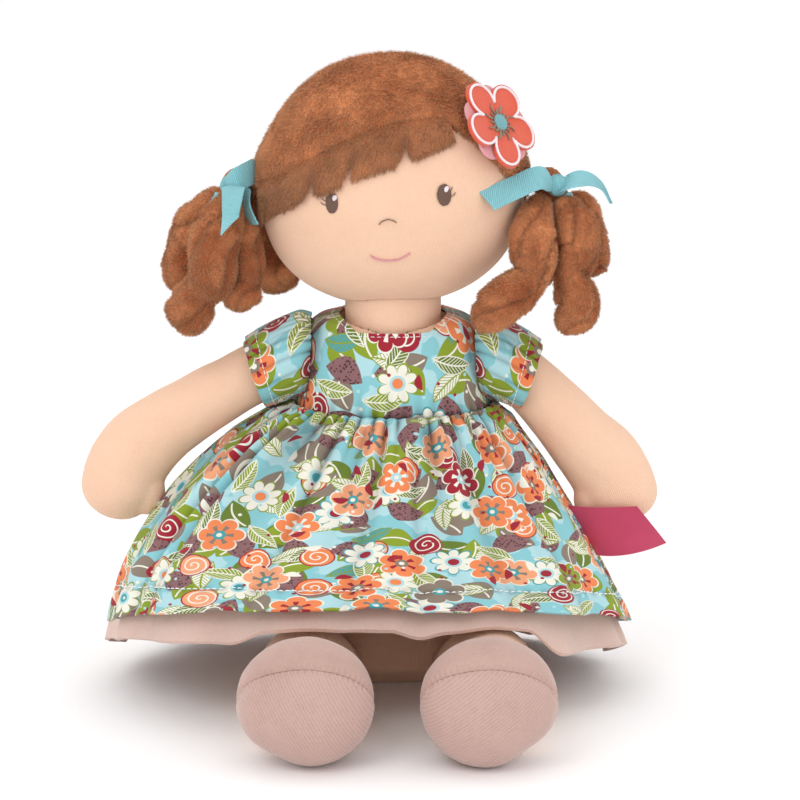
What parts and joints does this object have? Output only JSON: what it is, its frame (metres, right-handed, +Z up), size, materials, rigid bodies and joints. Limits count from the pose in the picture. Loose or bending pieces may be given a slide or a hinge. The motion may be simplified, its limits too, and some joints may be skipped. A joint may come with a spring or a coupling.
{
  "type": "rag doll",
  "caption": "Seated soft rag doll with stuffed body and limbs, plush hair in two curled bunches, gathered floral dress, underskirt and round shoes.",
  "frame": {"origin": "middle of the seat's flat underside, on the surface the doll sits on, below the neck", "axes": "+Z up, -Y the way the doll faces, +X its own left hand"},
  "size_m": [0.248, 0.2173, 0.2651],
  "materials": {
    "skin_velour": "short peach velour",
    "hair_plush": "short brown plush",
    "printed_cotton": "printed plain-weave cotton",
    "underskirt_velour": "dusty pink velour",
    "shoe_velour": "dusty pink velour",
    "ribbon": "woven twill ribbon",
    "tag_ribbon": "woven label",
    "coral_felt": "felt",
    "pink_cotton": "cotton backing",
    "aqua_thread": "embroidery thread",
    "closure_tape": "hook and loop tape"
  },
  "bodies": {
    "torso": {"torso": "skin_velour", "bodice_front": "printed_cotton", "bodice_back_left": "printed_cotton", "bodice_back_right": "printed_cotton", "closure_hook_strip": "closure_tape", "closure_loop_strip": "closure_tape", "skirt_front": "printed_cotton", "skirt_back": "printed_cotton", "underskirt_front": "underskirt_velour", "underskirt_back": "underskirt_velour", "side_tag": "tag_ribbon"},
    "neck": {"neck": "skin_velour"},
    "head": {"head": "skin_velour", "hair_cap": "hair_plush", "fringe": "hair_plush", "flower_back": "pink_cotton", "flower_petals": "coral_felt", "flower_centre": "aqua_thread"},
    "right_pigtail": {"right_bunch_root": "hair_plush", "right_ribbon": "ribbon", "right_curl_front": "hair_plush", "right_curl_outer": "hair_plush", "right_curl_middle": "hair_plush", "right_curl_rear": "hair_plush"},
    "left_pigtail": {"left_bunch_root": "hair_plush", "left_ribbon": "ribbon", "left_curl_front": "hair_plush", "left_curl_outer": "hair_plush", "left_curl_middle": "hair_plush", "left_curl_rear": "hair_plush"},
    "right_arm": {"right_arm": "skin_velour", "right_sleeve": "printed_cotton"},
    "left_arm": {"left_arm": "skin_velour", "left_sleeve": "printed_cotton"},
    "right_leg": {"right_leg": "skin_velour", "right_shoe_upper": "shoe_velour", "right_shoe_sole": "shoe_velour"},
    "left_leg": {"left_leg": "skin_velour", "left_shoe_upper": "shoe_velour", "left_shoe_sole": "shoe_velour"}
  },
  "joints": [
    {"name": "neck_nod", "type": "hinge", "parent": "torso", "child": "neck", "pos_m": [0, 0, 0.145], "axis": [1, 0, 0], "range_deg": [-10, 12], "stiffness_Nm_per_rad": 0.9},
    {"name": "head_tilt", "type": "hinge", "parent": "neck", "child": "head", "pos_m": [0, 0, 0.166], "axis": [0, 1, 0], "range_deg": [-8, 8], "stiffness_Nm_per_rad": 0.9},
    {"name": "right_pigtail_swing", "type": "hinge", "parent": "head", "child": "right_pigtail", "pos_m": [-0.0645, 0.002, 0.209], "axis": [0, 1, 0], "range_deg": [0, 40]},
    {"name": "left_pigtail_swing", "type": "hinge", "parent": "head", "child": "left_pigtail", "pos_m": [0.0645, 0.002, 0.209], "axis": [0, -1, 0], "range_deg": [0, 40]},
    {"name": "right_arm_swing", "type": "hinge", "parent": "torso", "child": "right_arm", "pos_m": [-0.035, 0, 0.139], "axis": [-1, 0, 0], "range_deg": [-20, 50], "stiffness_Nm_per_rad": 0.2},
    {"name": "left_arm_swing", "type": "hinge", "parent": "torso", "child": "left_arm", "pos_m": [0.035, 0, 0.139], "axis": [-1, 0, 0], "range_deg": [-20, 50], "stiffness_Nm_per_rad": 0.2},
    {"name": "right_leg_swing", "type": "hinge", "parent": "torso", "child": "right_leg", "pos_m": [-0.034, -0.036, 0.0134], "axis": [1, 0, 0], "range_deg": [0, 80]},
    {"name": "left_leg_swing", "type": "hinge", "parent": "torso", "child": "left_leg", "pos_m": [0.0374, -0.036, 0.0134], "axis": [1, 0, 0], "range_deg": [0, 80]}
  ]
}
